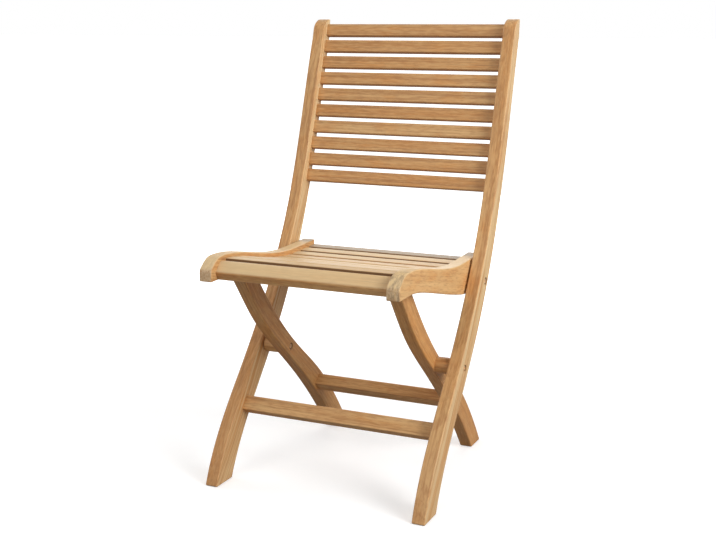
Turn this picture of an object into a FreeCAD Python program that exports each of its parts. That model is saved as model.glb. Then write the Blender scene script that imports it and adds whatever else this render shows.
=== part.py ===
import FreeCAD, Part
import math
import os

V = FreeCAD.Vector

# Folding chair, millimetres. X runs across the chair and is its mirror direction, the chair faces -Y,
# Z is up from the floor. Side pieces are drawn for the +X side and mirrored.
# A side view point is (y, z). The first drawing has y = 0 near the middle of the depth, and the
# finished chair is moved along Y so that the middle of its bounding box lies over the origin.

# Driving dimensions: widths across the chair
chair_width = 460.0
stile_thickness = 26.0
rail_thickness = 26.0
leg_thickness = 26.0
stile_rail_gap = 3.5
rail_leg_gap = 1.5
spacer_stile_gap = 0.4

# Driving dimensions: pivots in side view
seat_pivot = (90.5, 386.8)
crossing_pivot = (-24.0, 239.0)
slide_pin_rest = (-194.3, 426.2)
seat_fold_angle = 94.0
leg_fold_per_seat_fold = 0.72

# Driving dimensions: stile edges from the foot up to where they run straight, and the rounded top.
# A lean is the step back for each step up.
stile_height = 900.0
stile_front = [(-231.7, 0), (-177.5, 98), (-94.6, 196), (-11.6, 294), (57.8, 392), (112.5, 490),
               (187.0, 685)]
stile_back = [(-172.5, 0), (-112.5, 98), (-31.0, 196), (47.0, 294), (108.5, 392), (156.5, 490),
              (226.0, 685)]
stile_front_lean = 0.334
stile_back_lean = 0.306
stile_top_rounding = 37.0
stile_top_arc = [(8.0, 23.0), (23.5, 34.5)]
stile_top_back = 37.9

# Driving dimensions: rear leg edges from the foot up
leg_front = [(188.8, 0), (122.5, 78), (44.0, 157), (-45.5, 235), (-130.4, 313), (-194.0, 392)]
leg_back = [(242.0, 0), (182.0, 78), (105.5, 157), (8.0, 235), (-76.3, 313), (-144.2, 392)]
leg_end_above_pin = 7.5
leg_end_slope = 38.0

# Driving dimensions: seat rail edges from the nose back
rail_top = [(-237.6, 465.2), (-189.6, 462.2), (-151.6, 455.8), (-72.3, 440.4), (-27.6, 433.6),
            (24.9, 429.8), (82.4, 430.8), (140.8, 432.8)]
rail_nose = [(-257.6, 462.0), (-277.1, 448.5), (-282.6, 437.0)]
rail_nose_bottom = (-282.6, 421.5)
rail_bottom = [(-225.6, 422.5), (-197.5, 419.6), (-148.4, 409.9), (-97.0, 397.7), (-43.3, 384.6),
               (16.4, 371.5), (72.4, 365.0), (116.4, 378.0), (139.4, 409.0)]

# Driving dimensions: seat slats
seat_slat_count = 10
seat_slat_gap = 11.0
seat_slat_thickness = 14.0
slat_below_rail_front = 7.0
slat_below_rail_rear = 10.5

# Driving dimensions: front seat slat. Its outline starts below its upper back corner and has one
# rounding for each point; its tenon is placed from the same corner.
front_slat_back = -240.0
front_slat_below_rail_top = 9.3
front_slat_outline = [(0, -33.5), (-19.0, -33.5), (-28.5, -17.7), (-10.0, 0), (0, 0)]
front_slat_roundings = [1.8, 4.0, 6.0, 12.0, 1.8]
front_tenon_centre = (-12.5, -18.0)
front_tenon_depth = 11.0
front_tenon_height = 16.0

# Driving dimensions: back slats, set in a straight row down from the stiles' top
back_slat_count = 10
back_slat_height = 26.1
back_slat_gap = 10.0
back_slat_thickness = 15.5
back_slat_top_drop = 10.0
back_slat_foremost = (160.2, 552.0)
back_slat_lean = 18.2

# Driving dimensions: stretchers
front_stretcher_centre = (-111.0, 134.5)
front_stretcher_height = 30.0
front_stretcher_depth = 20.0
front_stretcher_lean = 39.0
rear_stretcher_centre = (103.1, 128.0)
rear_stretcher_height = 26.0
rear_stretcher_depth = 26.0
rear_stretcher_lean = -45.0

# Driving dimensions: joinery and edges
edge_easing = 2.2
slat_easing = 1.8
tenon_length = 9.0
tenon_shoulder = 4.0
joint_clearance = 0.1

# Driving dimensions: pivot hardware
shank_diameter = 8.0
seat_head_diameter = 13.6
crossing_head_diameter = 10.6
nut_head_diameter = 12.4
head_height = 2.5
head_inset = 1.2
head_clearance = 1.0
socket_width = 5.0
socket_depth = 1.6
thread_diameter = 5.0
sleeve_length = 12.0
running_clearance = 0.08
washer_diameter = 20.0
washer_clearance = 0.3
pin_diameter = 8.0
pin_reach = 9.5
track_depth = 10.5
track_clearance = 0.35
spacer_diameter = 32.0
spacer_rounding = 2.5

# Places across the chair
stile_outer = chair_width / 2
stile_inner = stile_outer - stile_thickness
rail_outer = stile_inner - stile_rail_gap
rail_inner = rail_outer - rail_thickness
leg_outer = rail_inner - rail_leg_gap
leg_inner = leg_outer - leg_thickness


def turn(point, centre, angle):
    """Side view point turned about a centre, from +Y towards +Z."""
    c = math.cos(math.radians(angle))
    s = math.sin(math.radians(angle))
    dy = point[0] - centre[0]
    dz = point[1] - centre[1]
    return (centre[0] + c * dy - s * dz, centre[1] + s * dy + c * dz)


def at(x, point):
    return V(x, point[0], point[1])


def spline(points, x):
    curve = Part.BSplineCurve()
    curve.interpolate([at(x, p) for p in points])
    return curve


def line(first, second, x):
    return Part.LineSegment(at(x, first), at(x, second)).toShape()


def board(edges, thickness, easing):
    """Board sawn to a side view outline, with all its corners eased."""
    face = Part.Face(Part.Wire(edges))
    solid = face.extrude(V(thickness, 0, 0))
    return solid.makeFillet(easing, solid.Edges).Solids[0]


def rod(x0, x1, centre, diameter):
    return Part.makeCylinder(diameter / 2, x1 - x0, at(x0, centre), V(1, 0, 0))


def bar(x_half, centre, angle, width, thickness):
    """Square bar across the chair; its width runs along the angle in side view."""
    solid = Part.makeBox(2 * x_half, width, thickness, V(-x_half, -width / 2, -thickness / 2))
    solid.rotate(V(0, 0, 0), V(1, 0, 0), angle)
    solid.translate(at(0, centre))
    return solid


def eased_bar(x_half, centre, angle, width, thickness, easing):
    solid = Part.makeBox(2 * x_half, width, thickness, V(-x_half, -width / 2, -thickness / 2))
    long_edges = [e for e in solid.Edges if abs(e.tangentAt(0).x) > 0.9]
    solid = solid.makeFillet(easing, long_edges)
    solid.rotate(V(0, 0, 0), V(1, 0, 0), angle)
    solid.translate(at(0, centre))
    return solid


def slat(x_half, centre, angle, width, thickness):
    """Slat with stub tenons, and the block that cuts their mortises."""
    body = eased_bar(x_half, centre, angle, width, thickness, slat_easing)
    tenon_width = width - 2 * tenon_shoulder
    tenon_thickness = thickness - 2 * tenon_shoulder
    tenon = bar(x_half + tenon_length, centre, angle, tenon_width, tenon_thickness)
    mortise = bar(x_half + tenon_length + 3 * joint_clearance, centre, angle,
                  tenon_width + 2 * joint_clearance, tenon_thickness + 2 * joint_clearance)
    return body.fuse(tenon).removeSplitter(), mortise


def mirrored(solid):
    return solid.mirror(V(0, 0, 0), V(1, 0, 0))


def pair(solid):
    return Part.makeCompound([mirrored(solid), solid])


# Outlines

def straight_up(last, lean, z):
    return (last[0] + lean * (z - last[1]), z)


def stile_outline(x):
    # Above its last drawn points the stile runs straight, up to the rounding of its top.
    rounding_start = stile_height - stile_top_rounding
    front_end = straight_up(stile_front[-1], stile_front_lean, rounding_start)
    back_end = straight_up(stile_back[-1], stile_back_lean, rounding_start)
    summit = (front_end[0] + stile_top_back, stile_height)
    arc = [(front_end[0] + y, rounding_start + z) for y, z in stile_top_arc]
    front = spline(stile_front + [front_end], x)
    back = spline(stile_back + [back_end], x)
    top = Part.BSplineCurve()
    heading = front.tangent(front.LastParameter)[0]
    top.interpolate(Points=[at(x, p) for p in [front_end] + arc + [summit]],
                    InitialTangent=heading, FinalTangent=V(0, 1, 0.05))
    return [front.toShape(), top.toShape(), line(summit, back_end, x),
            back.toShape(), line(stile_back[0], stile_front[0], x)]


def leg_outline(x):
    # The top end runs parallel to the underside of the seat, just above the slide pin.
    end_z = slide_pin_rest[1] + leg_end_above_pin
    reach = math.tan(math.radians(leg_end_slope))
    front_end = (leg_front[-1][0] - reach * (end_z - leg_front[-1][1]), end_z)
    back_end = (leg_back[-1][0] - reach * (end_z - leg_back[-1][1]), end_z)
    front = spline(leg_front + [front_end], x)
    back = spline(leg_back + [back_end], x)
    return [front.toShape(), line(front_end, back_end, x), back.toShape(),
            line(leg_back[0], leg_front[0], x)]


def rail_outline(x):
    top = spline(rail_top, x)
    nose = Part.BSplineCurve()
    heading = top.tangent(top.FirstParameter)[0]
    nose_points = [at(x, p) for p in [rail_top[0]] + rail_nose]
    nose.interpolate(Points=nose_points, InitialTangent=heading * -1, FinalTangent=V(0, 0, -1))
    bottom = spline(rail_bottom, x)
    return [top.toShape(), nose.toShape(), line(rail_nose[-1], rail_nose_bottom, x),
            line(rail_nose_bottom, rail_bottom[0], x), bottom.toShape(),
            line(rail_bottom[-1], rail_top[-1], x)]


# Pivot hardware

def head(x_face, inward, centre, diameter):
    """Flat round head with a hexagon socket; its face is at x_face and it grows inward."""
    x_back = x_face + inward * head_height
    solid = rod(min(x_face, x_back), max(x_face, x_back), centre, diameter)
    rim = [e for e in solid.Edges if abs(e.BoundBox.XMin - x_face) < 0.01 and e.BoundBox.XLength < 0.01]
    solid = solid.makeFillet(0.8, rim)
    corners = []
    for k in range(7):
        a = math.radians(60 * k)
        r = socket_width / math.sqrt(3)
        corners.append(V(x_face, centre[0] + r * math.cos(a), centre[1] + r * math.sin(a)))
    socket = Part.Face(Part.makePolygon(corners)).extrude(V(inward * socket_depth, 0, 0))
    return solid.cut(socket)


def pivot_bolt(x_near, x_far, centre, diameter):
    """Bolt with its head in the stile's outer face; the threaded end enters the sleeve nut."""
    x_head = x_far - head_inset
    x_sleeve = x_near + head_inset + head_height + sleeve_length
    solid = head(x_head, -1, centre, diameter)
    solid = solid.fuse(rod(x_sleeve, x_head - head_height, centre, shank_diameter))
    solid = solid.fuse(rod(x_near + head_inset + head_height, x_sleeve, centre, thread_diameter))
    return solid.removeSplitter()


def sleeve_nut(x_near, centre):
    x_head = x_near + head_inset
    x_sleeve = x_head + head_height + sleeve_length
    solid = head(x_head, 1, centre, nut_head_diameter)
    solid = solid.fuse(rod(x_head + head_height, x_sleeve, centre, shank_diameter))
    bore = thread_diameter + 2 * joint_clearance
    return solid.removeSplitter().cut(rod(x_head + head_height, x_sleeve, centre, bore))


def head_pocket(x_face, inward, centre, diameter):
    x_back = x_face + inward * (head_inset + head_height)
    return rod(min(x_face, x_back), max(x_face, x_back), centre, diameter + 2 * head_clearance)


# Side pieces on the +X side

def make_stile(mortises):
    solid = board(stile_outline(stile_inner), stile_thickness, edge_easing)
    bore = shank_diameter + 2 * joint_clearance
    for centre, diameter in ((seat_pivot, seat_head_diameter), (crossing_pivot, crossing_head_diameter)):
        solid = solid.cut(rod(stile_inner - 1, stile_outer + 1, centre, bore))
        solid = solid.cut(head_pocket(stile_outer, -1, centre, diameter))
    for tool in mortises:
        solid = solid.cut(tool)
    return solid


def pin_track():
    """Track in the rail's inner face that rests on the slide pin: straight above, open below."""
    radius = pin_diameter / 2 + track_clearance
    leg_fold = seat_fold_angle * leg_fold_per_seat_fold
    folded = turn(turn(slide_pin_rest, crossing_pivot, -leg_fold), seat_pivot, seat_fold_angle)
    length = math.dist(slide_pin_rest, folded)
    slope = math.degrees(math.atan2(folded[1] - slide_pin_rest[1], folded[0] - slide_pin_rest[0]))
    opening = 2 * (slide_pin_rest[1] - min(z for y, z in rail_bottom))
    x = rail_inner
    arc_front = Part.Arc(V(x, -radius, 0), V(x, -radius * math.sqrt(0.5), radius * math.sqrt(0.5)),
                         V(x, 0, radius)).toShape()
    arc_back = Part.Arc(V(x, length, radius),
                        V(x, length + radius * math.sqrt(0.5), radius * math.sqrt(0.5)),
                        V(x, length + radius, 0)).toShape()
    edges = [arc_front, line((0, radius), (length, radius), x), arc_back,
             line((length + radius, 0), (length + radius, -opening), x),
             line((length + radius, -opening), (-radius, -opening), x),
             line((-radius, -opening), (-radius, 0), x)]
    solid = Part.Face(Part.Wire(edges)).extrude(V(track_depth, 0, 0))
    solid.rotate(V(0, 0, 0), V(1, 0, 0), slope)
    solid.translate(at(0, slide_pin_rest))
    return solid


def make_rail(mortises):
    solid = board(rail_outline(rail_inner), rail_thickness, edge_easing)
    bore = shank_diameter + 2 * running_clearance
    solid = solid.cut(rod(rail_inner - 1, rail_outer + 1, seat_pivot, bore))
    solid = solid.cut(head_pocket(rail_inner, 1, seat_pivot, nut_head_diameter))
    solid = solid.cut(pin_track())
    for tool in mortises:
        solid = solid.cut(tool)
    return solid


def make_leg(mortises):
    solid = board(leg_outline(leg_inner), leg_thickness, edge_easing)
    bore = shank_diameter + 2 * running_clearance
    solid = solid.cut(rod(leg_inner - 1, leg_outer + 1, crossing_pivot, bore))
    solid = solid.cut(head_pocket(leg_inner, 1, crossing_pivot, nut_head_diameter))
    solid = solid.cut(rod(leg_inner + leg_thickness / 4, leg_outer + 1, slide_pin_rest,
                          pin_diameter + joint_clearance))
    for tool in mortises:
        solid = solid.cut(tool)
    return solid


def make_spacer():
    """Turned spacer between leg and stile, on the crossing bolt and glued to the leg."""
    x_far = stile_inner - spacer_stile_gap
    solid = rod(leg_outer, x_far, crossing_pivot, spacer_diameter)
    rim = [e for e in solid.Edges if e.BoundBox.XMin > x_far - 0.01 and e.BoundBox.XLength < 0.01]
    solid = solid.makeFillet(spacer_rounding, rim)
    bore = shank_diameter + 2 * running_clearance
    return solid.cut(rod(leg_outer - 1, x_far + 1, crossing_pivot, bore))


def make_slide_pin():
    x0 = leg_inner + leg_thickness / 4 + joint_clearance
    x1 = rail_inner + pin_reach
    solid = rod(x0, x1, slide_pin_rest, pin_diameter)
    rim = [e for e in solid.Edges if e.BoundBox.XMin > x1 - 0.01 and e.BoundBox.XLength < 0.01]
    return solid.makeChamfer(0.6, rim)


def make_washer():
    gap = stile_rail_gap - 2 * washer_clearance
    x0 = rail_outer + washer_clearance
    solid = rod(x0, x0 + gap, seat_pivot, washer_diameter)
    return solid.cut(rod(x0 - 1, x0 + gap + 1, seat_pivot, shank_diameter + 2 * joint_clearance))


# Pieces across the chair

def seat_slats():
    """Slats between the rails, following the curve of the rails' top edge."""
    curve = spline(rail_top, 0)
    start = curve.parameter(V(0, front_slat_back + seat_slat_gap, rail_top[0][1]))
    run = curve.length(start, curve.LastParameter)
    pitch = (run + seat_slat_gap) / seat_slat_count
    width = pitch - seat_slat_gap
    pieces = []
    for k in range(seat_slat_count):
        middle = curve.parameterAtDistance(k * pitch + width / 2, start)
        point = curve.value(middle)
        heading = curve.tangent(middle)[0]
        angle = math.degrees(math.atan2(heading.z, heading.y))
        towards_rear = k / (seat_slat_count - 1)
        below = slat_below_rail_front + (slat_below_rail_rear - slat_below_rail_front) * towards_rear
        drop = below + seat_slat_thickness / 2
        centre = (point.y + drop * heading.z, point.z - drop * heading.y)
        pieces.append(slat(rail_inner, centre, angle, width, seat_slat_thickness))
    return pieces


def front_seat_slat():
    """Slat with a rounded upper front and an undercut face below its foremost line."""
    top = rail_top[0][1] - front_slat_below_rail_top
    corners = [(front_slat_back + y, top + z) for y, z in front_slat_outline]
    outline = Part.makePolygon([at(-rail_inner, p) for p in corners + corners[:1]])
    body = Part.Face(outline).extrude(V(2 * rail_inner, 0, 0))
    for corner, rounding in zip(corners, front_slat_roundings):
        edge = [e for e in body.Edges if e.BoundBox.XLength > rail_inner
                and math.dist((e.BoundBox.YMin, e.BoundBox.ZMin), corner) < 0.01]
        body = body.makeFillet(rounding, edge)
    centre = (front_slat_back + front_tenon_centre[0], top + front_tenon_centre[1])
    tenon = bar(rail_inner + tenon_length, centre, 0, front_tenon_depth, front_tenon_height)
    mortise = bar(rail_inner + tenon_length + 3 * joint_clearance, centre, 0,
                  front_tenon_depth + 2 * joint_clearance, front_tenon_height + 2 * joint_clearance)
    return body.fuse(tenon).removeSplitter(), mortise


def back_slats():
    """Slats between the stiles, in a straight row down the back, the top one first."""
    up = (math.sin(math.radians(back_slat_lean)), math.cos(math.radians(back_slat_lean)))
    angle = 90 - back_slat_lean
    row_top = (stile_height - back_slat_top_drop - back_slat_foremost[1]) / up[1]
    pieces = []
    for k in range(back_slat_count):
        along = row_top - k * (back_slat_height + back_slat_gap) - back_slat_height / 2
        y = back_slat_foremost[0] + along * up[0] + back_slat_thickness / 2 * up[1]
        z = back_slat_foremost[1] + along * up[1] - back_slat_thickness / 2 * up[0]
        pieces.append(slat(stile_inner, (y, z), angle, back_slat_height, back_slat_thickness))
    return pieces


def front_stretcher():
    return slat(stile_inner, front_stretcher_centre, 90 - front_stretcher_lean,
                front_stretcher_height, front_stretcher_depth)


def rear_stretcher():
    return slat(leg_inner, rear_stretcher_centre, 90 - rear_stretcher_lean,
                rear_stretcher_height, rear_stretcher_depth)


# Assembly

pieces = {}

back_row = back_slats()
stretcher_front, front_mortise = front_stretcher()
stile = make_stile([m for s, m in back_row] + [front_mortise])
pieces["left_stile"] = mirrored(stile)
pieces["right_stile"] = stile
for k, (s, m) in enumerate(back_row):
    pieces["back_slat_%02d" % (k + 1)] = s
pieces["front_stretcher"] = stretcher_front

seat_row = seat_slats()
slat_front, slat_front_mortise = front_seat_slat()
rail = make_rail([m for s, m in seat_row] + [slat_front_mortise])
pieces["left_seat_rail"] = mirrored(rail)
pieces["right_seat_rail"] = rail
pieces["front_seat_slat"] = slat_front
for k, (s, m) in enumerate(seat_row):
    pieces["seat_slat_%02d" % (k + 1)] = s

stretcher_rear, rear_mortise = rear_stretcher()
leg = make_leg([rear_mortise])
spacer = make_spacer()
pieces["left_rear_leg"] = mirrored(leg)
pieces["right_rear_leg"] = leg
pieces["left_crossing_spacer"] = mirrored(spacer)
pieces["right_crossing_spacer"] = spacer
pieces["rear_stretcher"] = stretcher_rear
pieces["slide_pins"] = pair(make_slide_pin())

pieces["crossing_bolts"] = pair(pivot_bolt(leg_inner, stile_outer, crossing_pivot,
                                            crossing_head_diameter))
pieces["crossing_nuts"] = pair(sleeve_nut(leg_inner, crossing_pivot))
pieces["seat_pivot_bolts"] = pair(pivot_bolt(rail_inner, stile_outer, seat_pivot, seat_head_diameter))
pieces["seat_pivot_nuts"] = pair(sleeve_nut(rail_inner, seat_pivot))
pieces["seat_pivot_washers"] = pair(make_washer())

# The middle of the depth goes over the origin.
box = Part.makeCompound(list(pieces.values())).optimalBoundingBox(False, False)
shift = -(box.YMin + box.YMax) / 2
os.makedirs("parts", exist_ok=True)
for name, shape in pieces.items():
    shape.translate(V(0, shift, 0))
    shape.exportStep("parts/%s.step" % name)

print("nodes", len(pieces), "box y %.2f %.2f z %.2f %.2f" % (box.YMin, box.YMax, box.ZMin, box.ZMax))
print("shift along y %.3f" % shift)
for label, point in (("seat pivot", seat_pivot), ("crossing", crossing_pivot), ("pin", slide_pin_rest)):
    print(label, "y %.3f z %.3f" % (point[0] + shift, point[1]))
for name, shape in pieces.items():
    if not shape.isValid():
        print("not valid:", name)
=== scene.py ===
import bpy
import bmesh
import math
from collections import namedtuple
from mathutils import Euler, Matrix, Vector


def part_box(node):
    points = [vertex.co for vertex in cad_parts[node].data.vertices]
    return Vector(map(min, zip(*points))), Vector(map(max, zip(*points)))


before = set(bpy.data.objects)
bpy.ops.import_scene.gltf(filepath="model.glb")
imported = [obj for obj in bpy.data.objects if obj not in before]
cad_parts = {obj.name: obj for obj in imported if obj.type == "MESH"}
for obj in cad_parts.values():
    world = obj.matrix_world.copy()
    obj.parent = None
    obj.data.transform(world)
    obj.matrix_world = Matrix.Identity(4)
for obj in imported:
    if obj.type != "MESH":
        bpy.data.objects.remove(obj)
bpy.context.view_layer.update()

# Places are in metres and angles in degrees. The picture is 716 x 540, and its camera stands in
# front of the chair, to the right, and looks slightly down. The lens is in millimetres.

CAMERA_PLACE = (0.9565, -2.1077, 0.8941)
CAMERA_TURN = 24.589
CAMERA_DROP = 9.726
CAMERA_LENS = 59.56
CAMERA_SHIFT_Y = -0.0628
SENSOR_WIDTH = 36.0


class Value:
    """A socket of a node. Arithmetic on it adds Math nodes."""

    def __init__(self, nodes, socket):
        self.nodes = nodes
        self.socket = socket

    def math(self, operation, first, second=0.0):
        return self.nodes.node("ShaderNodeMath", {"operation": operation}, {0: first, 1: second})

    def __add__(self, other):
        return self.math("ADD", self, other)

    def __radd__(self, other):
        return self.math("ADD", other, self)

    def __sub__(self, other):
        return self.math("SUBTRACT", self, other)

    def __rsub__(self, other):
        return self.math("SUBTRACT", other, self)

    def __mul__(self, other):
        return self.math("MULTIPLY", self, other)

    def __rmul__(self, other):
        return self.math("MULTIPLY", other, self)

    def __truediv__(self, other):
        return self.math("DIVIDE", self, other)

    def __pow__(self, other):
        return self.math("POWER", self, other)

    def larger(self, other):
        return self.math("MAXIMUM", self, other)

    def part(self):
        """What is left after the whole number is taken away."""
        return self.math("FRACT", self)

    def root(self):
        return self.math("SQRT", self)


class Nodes:
    """The nodes of a material or of the sky."""

    def __init__(self, owner):
        owner.use_nodes = True
        self.in_loger = owner
        self.tree = owner.node_tree
        self.tree.nodes.clear()

    def node(self, kind, settings, sockets, output=0):
        """Adds a node: its settings first, then the values or links of its sockets.

        It gives back one output of the node. The last node of a material or sky has none.
        """
        made = self.tree.nodes.new(kind)
        for key, value in settings.items():
            setattr(made, key, value)
        for key, value in sockets.items():
            if isinstance(value, Value):
                self.tree.links.new(value.socket, made.inputs[key])
            else:
                made.inputs[key].default_value = value
        return Value(self, made.outputs[output]) if made.outputs else None


# A noise pattern: its cells in a metre along X, Y and Z, its detail and roughness, and a step
# that keeps it apart from the other patterns

Pattern = namedtuple("Pattern", "cells detail roughness step", defaults=(0.5, None))

# How a pattern marks the wood: the values where the mark starts and is full, and its strength

Mark = namedtuple("Mark", "start full strength")

# How like a face's own direction is to one rounded over its neighbours, from an even face to a
# sharp corner, and how many rays look for that corner

CORNER_LIKENESS = (0.995, 0.85)
CORNER_RAYS = 4


def opaque(colour):
    """A colour as a socket takes it. A linked colour stays as it is."""
    return colour if isinstance(colour, Value) else (*colour, 1.0)


class Finish(Nodes):
    """A material."""

    def __init__(self, name):
        super().__init__(bpy.data.materials.new(name))

    def place(self):
        """Where a point of the piece lies while the chair stands unfolded."""
        return self.node("ShaderNodeTexCoord", {}, {}, "Object")

    def normal(self):
        """Which way a face of the piece looks while the chair stands unfolded."""
        return self.node("ShaderNodeTexCoord", {}, {}, "Normal")

    def axis(self, vector, letter):
        return self.node("ShaderNodeSeparateXYZ", {}, {"Vector": vector}, letter)

    def turned(self, vector, rotation, location):
        return self.node("ShaderNodeMapping", {"vector_type": "POINT"},
                         {"Vector": vector, "Rotation": rotation, "Location": location})

    def scaled(self, vector, scale):
        return self.node("ShaderNodeVectorMath", {"operation": "MULTIPLY"}, {0: vector, 1: scale})

    def moved(self, vector, step):
        return self.node("ShaderNodeVectorMath", {"operation": "ADD"}, {0: vector, 1: step})

    def length(self, vector):
        return self.node("ShaderNodeVectorMath", {"operation": "LENGTH"}, {0: vector}, "Value")

    def noise(self, vector, pattern):
        """Noise from 0 to 1."""
        if pattern.step:
            vector = self.moved(vector, pattern.step)
        return self.node("ShaderNodeTexNoise", {"noise_dimensions": "3D"},
                         {"Vector": self.scaled(vector, pattern.cells), "Scale": 1.0,
                          "Detail": pattern.detail, "Roughness": pattern.roughness})

    def span(self, value, low, high):
        """From 0 where the value is low to 1 where it is high."""
        return self.node("ShaderNodeMapRange", {"clamp": True},
                         {"Value": value, "From Min": low, "From Max": high})

    def marks(self, value, mark):
        return self.span(value, mark.start, mark.full) * mark.strength

    def mix(self, factor, first, second):
        """A colour between two colours."""
        return self.node("ShaderNodeMix", {"data_type": "RGBA"},
                         {0: factor, 6: opaque(first), 7: opaque(second)}, 2)

    def bump(self, height, distance, strength):
        return self.node("ShaderNodeBump", {},
                         {"Height": height, "Distance": distance, "Strength": strength})

    def corner_mask(self, reach):
        """From 0 on flat faces to 1 on corners."""
        rounded = self.node("ShaderNodeBevel", {"samples": CORNER_RAYS}, {"Radius": reach})
        flat = self.node("ShaderNodeNewGeometry", {}, {}, "Normal")
        likeness = self.node("ShaderNodeVectorMath", {"operation": "DOT_PRODUCT"},
                             {0: rounded, 1: flat}, "Value")
        return self.span(likeness, *CORNER_LIKENESS)

    def surface(self, sockets):
        shader = self.node("ShaderNodeBsdfPrincipled", {}, sockets, "BSDF")
        self.node("ShaderNodeOutputMaterial", {}, {"Surface": shader})
        return self.in_loger


# Midlines of the curved boards in the side view, as (back, up) from the foot to the top, and how
# far each board leans from upright as a whole. The seat rails run nearly level, and fall to the
# back by their slope.

STILE_MIDLINE = ((-0.2036, 0.0), (0.0162, 0.294), (0.1330, 0.490), (0.2738, 0.900))
STILE_LEAN = 28.0
LEG_MIDLINE = ((0.2139, 0.0), (0.0733, 0.157), (-0.1049, 0.313), (-0.1920, 0.420))
LEG_LEAN = 43.0
RAIL_SLOPE = -11.5


def lengthwise(angle):
    """Turn that brings a side view direction, in degrees above +Y, to the pattern's Y."""
    return (-math.radians(angle), 0.0, 0.0)


# Which way the wood runs: slats, stretchers and spacers across the chair, the rest lengthwise

ACROSS = (0.0, 0.0, -math.pi / 2)
STILE_RUN = lengthwise(90.0 - STILE_LEAN)
LEG_RUN = lengthwise(90.0 + LEG_LEAN)
RAIL_RUN = lengthwise(RAIL_SLOPE)

# Teak, from the pale wood between the growth rings to the dark pores

STRAW_TEAK = (0.66, 0.405, 0.175)
HONEY_TEAK = (0.58, 0.300, 0.105)
AMBER_TEAK = (0.52, 0.230, 0.062)
ORANGE_TEAK = (0.60, 0.265, 0.070)
BROWN_TEAK = (0.36, 0.162, 0.052)
RUSSET_TEAK = (0.33, 0.135, 0.045)
PORE_TEAK = (0.19, 0.085, 0.032)
SAWN_TEAK = (0.66, 0.490, 0.310)
# Painted shade for the corners
CORNER_SHADE_TEAK = (0.40, 0.215, 0.090)
# Painted sheen on the stiles' side faces, and painted sheen together with sun bleaching on the seat's
# tops
SHEEN_AND_BLEACH_TEAK = (0.73, 0.565, 0.318)
# Darker grey for the back of the seat
DARK_GREY_TEAK = (0.29, 0.218, 0.150)
# Painted shade for the gaps between the seat slats
GAP_SHADE_TEAK = (0.13, 0.062, 0.024)
DARK_BURR = (0.27, 0.180, 0.095)
PALE_BURR = (0.70, 0.500, 0.230)

# Each board is sawn from another place of the log. The heart lies beside the board, at a distance
# and in a direction that differ from board to board, and the rings run out of it at a taper. In
# each ring the wood darkens towards the end of the year, and turns pale again at its very end.

BOARD_STEPS = (1.37, 3.11, 0.73)
HEART_NEAREST = 0.045
HEART_SPREAD = 0.035
HEART_STEP = 0.618
HEART_TURN = 2.4
TAPER_LEAST = 0.002
TAPER_SPREAD = 0.005
TAPER_STEP = 0.37
RING_WIDTH = 0.0058
RING_SWAY = 0.014
RING_RIPPLE = 0.0024
LATE_WOOD_SHARPNESS = 2.5
LATE_WOOD_END = 0.93

SWAY = Pattern((6.0, 1.4, 6.0), 2.0)
RIPPLE = Pattern((45.0, 5.0, 45.0), 2.0)

# Patterns in the grain, and how each of them marks it

FIBRE = Pattern((420.0, 6.0, 420.0), 3.0, 0.65)
DARK_FIBRES = Mark(0.45, 0.75, 0.32)
STREAK = Pattern((150.0, 2.2, 150.0), 3.0, 0.6)
DARK_STREAKS = Mark(0.47, 0.64, 0.56)
LATE_WOOD_DARKNESS = 0.34
PALE_STREAK = Pattern((190.0, 3.6, 190.0), 3.0, 0.6, (5.0, 2.0, 9.0))
PALE_STREAKS = Mark(0.48, 0.64, 0.45)
BAND = Pattern((38.0, 0.9, 38.0), 2.0)
AMBER_BANDS = Mark(0.42, 0.70, 0.75)
GLOW = Pattern((44.0, 15.0, 44.0), 2.0, 0.5, (1.0, 4.0, 6.0))
ORANGE_GLOW = Mark(0.50, 0.66, 0.60)
FLECK = Pattern((330.0, 42.0, 330.0), 3.0, 0.6, (3.0, 7.0, 1.0))
DARK_FLECKS = Mark(0.50, 0.64, 0.38)
PALE_FLECKS = Mark(0.48, 0.36, 0.34)
CLOUD = Pattern((11.0, 2.4, 11.0), 2.0)
STRAW_TO_HONEY = (0.25, 0.75)
PORE = Pattern((1100.0, 38.0, 1100.0), 1.0)
PORE_EDGES = (0.60, 0.74)
PORES_BETWEEN_RINGS = 0.35
PORES_IN_RINGS = 0.65
PORE_DARKNESS = 0.55

# Boards that are paler (below 0) or redder (above 0) than their place in the log makes them
BOARD_WARMTH = {"right_seat_rail": -0.42, "left_seat_rail": -0.10, "right_rear_leg": 0.35,
                "left_stile": 0.05, "right_stile": -0.20}
WARMTH_SPREAD = 0.60
WARMTH_STEP = 0.29
# Boards whose dark lines are fainter than those of the others
QUIET_LINES = {"right_seat_rail": 0.40, "front_seat_slat": 0.65, "right_stile": 0.85}

# Sawn ends: how squarely a face cuts the grain, and the open pores that speckle it

SAWN_EDGES = (0.25, 0.70)
SAWN_STRENGTH = 0.8
SPECKLE = Pattern((330.0, 60.0, 330.0), 4.0, 0.7)
DARK_SPECKLES = Mark(0.44, 0.64, 0.65)
SAWN_RING_DARKNESS = 0.2

# The seat: how far a face looks up before it is painted paler, as painted sheen together with sun
# bleaching, and where its darker grey back begins

SEAT_BLEACHED = (0.25, 0.80)
FRONT_SLAT_BLEACHED = (0.0, 0.45)
BLEACH_LEAST = 0.30
BLEACH_BY_CLOUD = 0.55
SEAT_GREY_BACK = (0.096, 0.116)
GREY_BACK_UPWARD = (0.1, 0.6)
GREY_LEAST = 0.62
GREY_BY_FIBRE = 0.3

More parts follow.
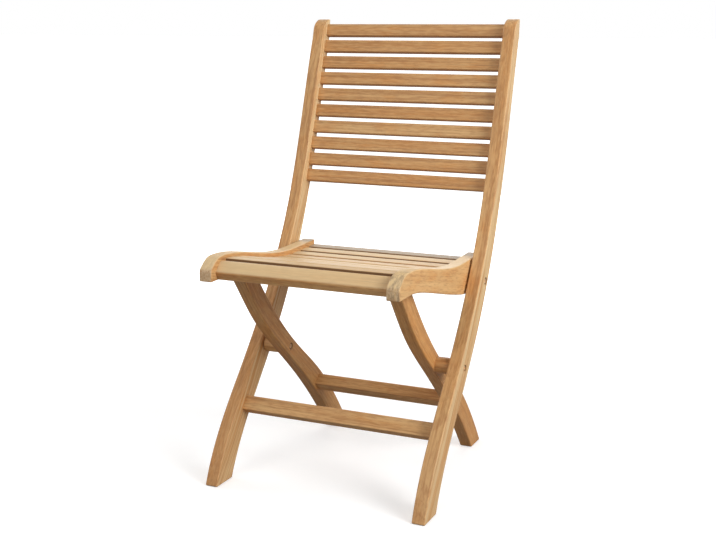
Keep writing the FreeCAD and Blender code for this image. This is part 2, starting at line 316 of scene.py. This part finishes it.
# How strongly the nose of a rail shows the burr from which it is cut, how far from its tip the
# burr fades, and how much of it is gone from the side faces
NOSE_BURR = {"right_seat_rail": 1.0, "left_seat_rail": 0.2}
NOSE_REACH = (0.070, 0.030)
NOSE_SIDE = (0.3, 0.9)
NOSE_SIDE_CLEAR = 0.75
BURR = Pattern((150.0, 60.0, 60.0), 5.0, 0.65)
DARK_BURRS = Mark(0.44, 0.66, 0.80)
PALE_BURRS = Mark(0.50, 0.34, 0.60)

# How much painted shade darkens the narrow front face of a seat slat, where it lies in a gap between
# the slats.
GAP_SHADE = {"seat_slat_01": 0.85, "seat_slat_08": 0.30, "seat_slat_09": 0.85, "seat_slat_10": 0.85}
LITTLE_GAP_SHADE = 0.12
GAP_FRONTWARD = (-0.75, -0.95)

# Stiles and legs: side faces painted paler as sheen, a mottled figure, and wood that is darker
# towards the feet

STILE_SIDE = (0.4, 0.9)
SIDE_STREAKS = Mark(0.40, 0.58, 0.65)
FIGURE = Pattern((70.0, 26.0, 70.0), 3.0, 0.6)
AMBER_FIGURE = Mark(0.46, 0.60, 0.45)
BROWN_FIGURE = Mark(0.44, 0.34, 0.30)
DARKER_LOW_HEIGHT = (0.45, 0.10)
DARKER_LOW_LEAST = 0.16
DARKER_LOW_BY_CLOUD = 0.25

# Corners painted darker: painted shade that tones down the light they catch

CORNER_REACH = 0.0030
CORNER_SHADE_LEAST = 0.25
CORNER_SHADE_BY_FIBRE = 0.25

# Gloss and relief of the oiled wood

TEAK_ROUGHNESS = 0.44
FIBRE_ROUGHNESS = 0.16
PORE_ROUGHNESS = 0.12
SAWN_ROUGHNESS = 0.12
CORNER_POLISH = 0.06
FIBRE_HEIGHT = 0.5
PORE_DEPTH = 0.8
LATE_WOOD_HEIGHT = 0.25
SPECKLE_DEPTH = 0.4
TEAK_RELIEF = 0.0004
TEAK_RELIEF_STRENGTH = 0.45
TEAK_IOR = 1.46


def share(seed, step):
    """A steady number from 0 to 1 that differs from board to board."""
    return (seed * step) % 1.0


def cubic_through(points):
    """The four factors, lowest first, of the cubic y(z) through four points (y, z)."""
    factors = [0.0, 0.0, 0.0, 0.0]
    for y, z in points:
        others = [other for _, other in points if other != z]
        scale = y / math.prod(z - other for other in others)
        a, b, c = others
        for power, factor in enumerate((-a * b * c, a * b + b * c + c * a, -(a + b + c), 1.0)):
            factors[power] += scale * factor
    return factors


def run_of(name):
    if name.endswith("stile"):
        return STILE_RUN
    if name.endswith("rear_leg"):
        return LEG_RUN
    if name.endswith("seat_rail"):
        return RAIL_RUN
    return ACROSS


class Board(Finish):
    """The oiled teak of one board: the patterns in its wood, and its colour as they are laid on."""

    def __init__(self, name, seed):
        super().__init__("teak_" + name)
        self.name = name
        self.seed = seed
        self.low, self.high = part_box(name)
        self.run = run_of(name)
        self.spot = self.place()
        self.facing = self.normal()
        self.board = self.in_board()
        self.in_log = self.moved(self.board, [seed * step for step in BOARD_STEPS])
        self.late_wood = self.growth_rings()
        self.fibre = self.noise(self.in_log, FIBRE)
        self.cloud = self.noise(self.in_log, CLOUD)
        self.pale_streak = self.noise(self.in_log, PALE_STREAK)
        self.speckle = self.noise(self.in_log, SPECKLE)
        pore = self.span(self.noise(self.in_log, PORE), *PORE_EDGES)
        self.pores = pore * (PORES_BETWEEN_RINGS + PORES_IN_RINGS * self.late_wood)
        cut = self.axis(self.turned(self.facing, self.run, (0.0, 0.0, 0.0)), "Y")
        self.sawn = self.span(cut * cut, *SAWN_EDGES)
        self.corner = self.corner_mask(CORNER_REACH)
        self.colour = self.clear_wood()

    def in_board(self):
        """Where a point lies in the board: Y along it, and X and Z across it."""
        if self.name.endswith("stile"):
            return self.in_bent_board(STILE_MIDLINE, STILE_LEAN)
        if self.name.endswith("rear_leg"):
            return self.in_bent_board(LEG_MIDLINE, LEG_LEAN)
        middle = (self.low + self.high) / 2
        middle.rotate(Euler(self.run))
        return self.turned(self.spot, self.run, -middle)

    def in_bent_board(self, midline, lean):
        """The same for a board that follows a curved midline."""
        middle = (self.low + self.high) / 2
        beside = self.moved(self.spot, (-middle.x, 0.0, 0.0))
        z = self.axis(beside, "Z")
        constant, first, second, third = cubic_through(midline)
        bend = ((third * z + second) * z + first) * z + constant
        along = z / math.cos(math.radians(lean))
        through = (self.axis(beside, "Y") - bend) * math.cos(math.radians(lean))
        return self.node("ShaderNodeCombineXYZ", {},
                         {"X": self.axis(beside, "X"), "Y": along, "Z": through})

    def growth_rings(self):
        """From 0 in the pale wood of each year to 1 in its dark late wood."""
        angle = self.seed * HEART_TURN
        distance = HEART_NEAREST + HEART_SPREAD * share(self.seed, HEART_STEP)
        heart = (distance * math.cos(angle), 0.0, distance * math.sin(angle))
        from_heart = self.moved(self.board, heart)
        side = self.axis(from_heart, "X")
        depth = self.axis(from_heart, "Z")
        along = self.axis(self.board, "Y")
        taper = TAPER_LEAST + TAPER_SPREAD * share(self.seed, TAPER_STEP)
        sway = self.noise(self.in_log, SWAY) - 0.5
        ripple = self.noise(self.in_log, RIPPLE) - 0.5
        radius = (side * side + depth * depth).root() + along * taper
        ring = ((radius + sway * RING_SWAY + ripple * RING_RIPPLE) / RING_WIDTH).part()
        return ring ** LATE_WOOD_SHARPNESS * self.span(ring, 1.0, LATE_WOOD_END)

    def clear_wood(self):
        """From straw to honey, in soft clouds."""
        warmth = (share(self.seed, WARMTH_STEP) - 0.5) * WARMTH_SPREAD
        honey = self.cloud + BOARD_WARMTH.get(self.name, warmth)
        return self.mix(self.span(honey, *STRAW_TO_HONEY), STRAW_TEAK, HONEY_TEAK)

    def lay(self, mask, colour):
        """Lays a colour over the board, fully where the mask is 1."""
        self.colour = self.mix(mask, self.colour, colour)

    def lay_grain(self):
        fleck = self.noise(self.in_log, FLECK)
        lines = self.marks(self.noise(self.in_log, STREAK), DARK_STREAKS)
        lines = lines + self.late_wood * LATE_WOOD_DARKNESS + self.marks(self.fibre, DARK_FIBRES)
        self.lay(self.marks(self.noise(self.in_log, BAND), AMBER_BANDS), AMBER_TEAK)
        self.lay(self.marks(self.noise(self.in_log, GLOW), ORANGE_GLOW), ORANGE_TEAK)
        self.lay(self.marks(self.pale_streak, PALE_STREAKS), STRAW_TEAK)
        self.lay(self.span(lines, 0.0, 1.0) * QUIET_LINES.get(self.name, 1.0), BROWN_TEAK)
        self.lay(self.pores * PORE_DARKNESS, PORE_TEAK)
        self.lay(self.marks(fleck, DARK_FLECKS), RUSSET_TEAK)
        self.lay(self.marks(fleck, PALE_FLECKS), STRAW_TEAK)

    def lay_sawn_ends(self):
        """Where a board is sawn across, the wood is greyer and speckled with open pores."""
        dark = self.marks(self.speckle, DARK_SPECKLES) + self.late_wood * SAWN_RING_DARKNESS
        self.lay(self.sawn * SAWN_STRENGTH, self.mix(dark, SAWN_TEAK, BROWN_TEAK))

    def pale_tops_and_grey_back(self):
        """Faces that look up are painted paler, as painted sheen together with sun bleaching, and the
        back of the seat is darker and greyer.
        """
        upward = self.axis(self.facing, "Z")
        bleached = FRONT_SLAT_BLEACHED if self.name == "front_seat_slat" else SEAT_BLEACHED
        bleach = BLEACH_LEAST + BLEACH_BY_CLOUD * self.cloud
        self.lay(self.span(upward, *bleached) * bleach, SHEEN_AND_BLEACH_TEAK)
        # The back of the seat is darker and greyer on faces that look up.
        backward = self.axis(self.spot, "Y")
        back_grey = self.span(backward, *SEAT_GREY_BACK) * self.span(upward, *GREY_BACK_UPWARD)
        self.lay(back_grey * (GREY_LEAST + GREY_BY_FIBRE * self.fibre), DARK_GREY_TEAK)

    def side_face(self, edges):
        """1 where a face looks to either side of the chair."""
        sideways = self.axis(self.facing, "X")
        return self.span(sideways * sideways, *edges)

    def lay_nose_burr(self):
        """The nose of a rail is cut from mottled wood, which shows little on its side faces."""
        burr = self.noise(self.in_log, BURR)
        from_tip = self.axis(self.spot, "Y") - self.low.y
        nose = self.span(from_tip, *NOSE_REACH) * NOSE_BURR[self.name]
        nose = nose * (1.0 - NOSE_SIDE_CLEAR * self.side_face(NOSE_SIDE))
        self.lay(nose * self.marks(burr, DARK_BURRS), DARK_BURR)
        self.lay(nose * self.marks(burr, PALE_BURRS), PALE_BURR)

    def paint_side_sheen(self):
        """The wide side faces of the stiles are painted paler than their fronts: a painted sheen."""
        streaks = self.marks(self.pale_streak, SIDE_STREAKS)
        self.lay(self.side_face(STILE_SIDE) * streaks, SHEEN_AND_BLEACH_TEAK)

    def lay_leg_figure(self):
        figure = self.noise(self.in_log, FIGURE)
        self.lay(self.marks(figure, AMBER_FIGURE), AMBER_TEAK)
        self.lay(self.marks(figure, BROWN_FIGURE), BROWN_TEAK)

    # Stiles and legs are darker towards their feet.
    def darken_towards_feet(self):
        low_down = self.span(self.axis(self.spot, "Z"), *DARKER_LOW_HEIGHT)
        self.lay(low_down * (DARKER_LOW_LEAST + DARKER_LOW_BY_CLOUD * self.cloud), BROWN_TEAK)

    # Painted shade on the corners, which tones down the light they catch.
    def paint_corner_shade(self):
        self.lay(self.corner * (CORNER_SHADE_LEAST + CORNER_SHADE_BY_FIBRE * self.fibre), CORNER_SHADE_TEAK)

    # Painted shade on the front faces of the seat slats, which lie in the narrow gaps.
    def paint_gap_shade(self):
        gap_face = self.span(self.axis(self.facing, "Y"), *GAP_FRONTWARD)
        self.lay(gap_face * GAP_SHADE.get(self.name, LITTLE_GAP_SHADE), GAP_SHADE_TEAK)

    def teak(self):
        """The board's material, with its wear, and with light and shade painted into its colour."""
        self.lay_grain()
        self.lay_sawn_ends()
        if "seat" in self.name:
            self.pale_tops_and_grey_back()
        if self.name in NOSE_BURR:
            self.lay_nose_burr()
        if self.name.endswith("stile"):
            self.paint_side_sheen()
        if self.name.endswith("rear_leg"):
            self.lay_leg_figure()
        if self.name.endswith(("stile", "rear_leg")):
            self.darken_towards_feet()
        self.paint_corner_shade()
        if self.name.startswith("seat_slat"):
            self.paint_gap_shade()
        roughness = (TEAK_ROUGHNESS + FIBRE_ROUGHNESS * self.fibre + PORE_ROUGHNESS * self.pores
                     + SAWN_ROUGHNESS * self.sawn - CORNER_POLISH * self.corner)
        height = (self.fibre * FIBRE_HEIGHT - self.pores * PORE_DEPTH
                  + self.late_wood * LATE_WOOD_HEIGHT - self.sawn * self.speckle * SPECKLE_DEPTH)
        relief = self.bump(height, TEAK_RELIEF, TEAK_RELIEF_STRENGTH)
        return self.surface({"Base Color": self.colour, "Roughness": roughness,
                             "IOR": TEAK_IOR, "Normal": relief})


# Bronze, steel and brass: fine scratches round each turned piece, a dull film, and bright corners

SCRATCH = Pattern((180.0, 2400.0, 2400.0), 2.0)
FILM = Pattern((120.0, 120.0, 120.0), 3.0)
FILM_EDGES = (0.35, 0.75)
METAL_CORNER_REACH = 0.0008
METAL_CORNER_SHINE = 0.5
SCRATCH_ROUGHNESS = 0.16
FILM_ROUGHNESS = 0.14
SCRATCH_RELIEF = 0.0001
SCRATCH_RELIEF_STRENGTH = 0.3

PALE_STEEL = (0.62, 0.60, 0.57)
DULL_STEEL = (0.40, 0.38, 0.35)
STEEL_ROUGHNESS = 0.34
PALE_BRASS = (0.80, 0.62, 0.33)
DULL_BRASS = (0.52, 0.37, 0.17)
BRASS_ROUGHNESS = 0.32

RUBBED_BRONZE = (0.84, 0.58, 0.35)
DULL_BRONZE = (0.66, 0.42, 0.23)
# Painted shade for the rim of a bolt head
RIM_SHADE_BRONZE = (0.130, 0.070, 0.030)
BRONZE_ROUGHNESS = 0.34
RUBBED_METALLIC = 0.40
RIM_ROUGHNESS = 0.25
# Where the painted shade round the rim of a head starts and is full, as shares of the head's radius
RIM_START = 0.56
RIM_FULL = 0.70

# Axes of the pivots in the side view, as (back, up), and the radii of the heads on them

SEAT_PIVOT = (0.089009, 0.3868)
CROSSING_PIVOT = (-0.025491, 0.239)
SEAT_BOLT_HEAD = 0.0068
CROSSING_BOLT_HEAD = 0.0053
NUT_HEAD = 0.0062


def worn_metal(finish, place, pale, dull, polished):
    """Colour, roughness and scratches of turned metal."""
    scratch = finish.noise(place, SCRATCH)
    film = finish.noise(place, FILM)
    colour = finish.mix(finish.span(film, *FILM_EDGES), pale, dull)
    colour = finish.mix(finish.corner_mask(METAL_CORNER_REACH) * METAL_CORNER_SHINE, colour, pale)
    roughness = polished + SCRATCH_ROUGHNESS * scratch + FILM_ROUGHNESS * film
    return colour, roughness, finish.bump(scratch, SCRATCH_RELIEF, SCRATCH_RELIEF_STRENGTH)


def metal(name, pale, dull, polished):
    finish = Finish(name)
    colour, roughness, relief = worn_metal(finish, finish.place(), pale, dull, polished)
    return finish.surface({"Base Color": colour, "Metallic": 1.0, "Roughness": roughness,
                           "Normal": relief})


def bronzed_bolt(name, pivot, head_radius):
    """Bronzed bolt or nut, with painted shade round the rim of its head and pale bronze in the
    middle.
    """
    finish = Finish(name)
    place = finish.place()
    colour, roughness, relief = worn_metal(finish, place, RUBBED_BRONZE, DULL_BRONZE,
                                           BRONZE_ROUGHNESS)
    from_axis = finish.scaled(finish.moved(place, (0.0, -pivot[0], -pivot[1])), (0.0, 1.0, 1.0))
    rim = finish.span(finish.length(from_axis), RIM_START * head_radius, RIM_FULL * head_radius)
    return finish.surface({"Base Color": finish.mix(rim, colour, RIM_SHADE_BRONZE),
                           "Metallic": RUBBED_METALLIC - RUBBED_METALLIC * rim,
                           "Roughness": roughness + RIM_ROUGHNESS * rim, "Normal": relief})


METAL_NODES = {
    "crossing_bolts": bronzed_bolt("crossing_bolt_bronze", CROSSING_PIVOT, CROSSING_BOLT_HEAD),
    "crossing_nuts": bronzed_bolt("crossing_nut_bronze", CROSSING_PIVOT, NUT_HEAD),
    "seat_pivot_bolts": bronzed_bolt("seat_bolt_bronze", SEAT_PIVOT, SEAT_BOLT_HEAD),
    "seat_pivot_nuts": bronzed_bolt("seat_nut_bronze", SEAT_PIVOT, NUT_HEAD),
    "slide_pins": metal("pin_steel", PALE_STEEL, DULL_STEEL, STEEL_ROUGHNESS),
    "seat_pivot_washers": metal("washer_brass", PALE_BRASS, DULL_BRASS, BRASS_ROUGHNESS),
}


def dress(name, node, seed):
    material = METAL_NODES.get(name)
    if material is None:
        material = Board(name, seed).teak()
    if not node.material_slots:
        node.data.materials.append(material)
    for material_slot in node.material_slots:
        material_slot.material = material


for order, name in enumerate(sorted(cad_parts)):
    dress(name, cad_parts[name], order + 1)


# The floor is white to the camera, and grey where it throws light back. It glows less near the
# chair, so that it keeps the chair's faint shadow there, and fully further out.

FLOOR_SEEN = (0.70, 0.70, 0.70)
FLOOR_THROWN = (0.30, 0.29, 0.28)
FLOOR_ROUGHNESS = 0.9
GLOW_DISTANCES = (0.6, 2.6)
NEAR_GLOW = (0.41, 0.41, 0.41)
FAR_GLOW = (1.0, 1.0, 1.0)
NO_GLOW = (0.0, 0.0, 0.0)
FLOOR_HALF_WIDTH = 60.0
FLOOR_BELOW_FEET = 0.0005

# Each lamp's place, its width in metres and its power in watts

LAMP_AIM = (0.0, 0.0, 0.45)
LAMPS = {
    "soft_light_right": ((3.6, -1.0, 2.0), 2.2, 152.0),
    "soft_light_above": ((0.2, -0.3, 3.5), 2.0, 12.0),
    "soft_light_front": ((-1.0, -3.6, 2.2), 2.0, 32.0),
    "soft_light_left": ((-3.6, 0.5, 1.4), 2.4, 66.0),
    "soft_light_behind": ((-0.6, 3.6, 1.2), 3.0, 52.0),
}
SKY_STRENGTH = 0.28
WHITE = (1.0, 1.0, 1.0, 1.0)


def pale_floor():
    finish = Finish("pale_floor")
    seen = finish.node("ShaderNodeLightPath", {}, {}, "Is Camera Ray")
    far = finish.span(finish.length(finish.place()), *GLOW_DISTANCES)
    glow = finish.mix(seen, NO_GLOW, finish.mix(far, NEAR_GLOW, FAR_GLOW))
    return finish.surface({"Base Color": finish.mix(seen, FLOOR_THROWN, FLOOR_SEEN),
                           "Roughness": FLOOR_ROUGHNESS, "Emission Color": glow,
                           "Emission Strength": 1.0})


def make_floor():
    mesh = bpy.data.meshes.new("floor")
    shape = bmesh.new()
    bmesh.ops.create_grid(shape, x_segments=1, y_segments=1, size=FLOOR_HALF_WIDTH)
    bmesh.ops.translate(shape, verts=shape.verts, vec=(0.0, 0.0, -FLOOR_BELOW_FEET))
    shape.to_mesh(mesh)
    shape.free()
    mesh.materials.append(pale_floor())
    floor = bpy.data.objects.new("floor", mesh)
    bpy.context.scene.collection.objects.link(floor)


def make_sky():
    """A dim white dome that the camera sees, and that gloss shows, as plain white."""
    world = bpy.data.worlds.new("studio")
    bpy.context.scene.world = world
    sky = Nodes(world)
    to_camera = sky.node("ShaderNodeLightPath", {}, {}, "Is Camera Ray")
    seen = to_camera.larger(sky.node("ShaderNodeLightPath", {}, {}, "Is Glossy Ray"))
    dim = sky.node("ShaderNodeBackground", {}, {"Color": WHITE, "Strength": SKY_STRENGTH})
    white = sky.node("ShaderNodeBackground", {}, {"Color": WHITE, "Strength": 1.0})
    shader = sky.node("ShaderNodeMixShader", {}, {0: seen, 1: dim, 2: white})
    sky.node("ShaderNodeOutputWorld", {}, {"Surface": shader})


def make_lamp(name, place, width, power):
    light = bpy.data.lights.new(name, "AREA")
    light.shape = "SQUARE"
    light.size = width
    light.energy = power
    lamp = bpy.data.objects.new(name, light)
    lamp.visible_camera = False
    lamp.location = place
    lamp.rotation_euler = (Vector(LAMP_AIM) - Vector(place)).to_track_quat("-Z", "Y").to_euler()
    bpy.context.scene.collection.objects.link(lamp)


def make_camera():
    lens = bpy.data.cameras.new("camera")
    lens.sensor_width = SENSOR_WIDTH
    lens.lens = CAMERA_LENS
    lens.shift_y = CAMERA_SHIFT_Y
    camera = bpy.data.objects.new("camera", lens)
    camera.location = CAMERA_PLACE
    camera.rotation_euler = (math.radians(90.0 - CAMERA_DROP), 0.0, math.radians(CAMERA_TURN))
    bpy.context.scene.collection.objects.link(camera)
    bpy.context.scene.camera = camera


make_floor()
make_sky()
for name, (place, width, power) in LAMPS.items():
    make_lamp(name, place, width, power)
make_camera()
bpy.context.scene.view_settings.view_transform = "Standard"
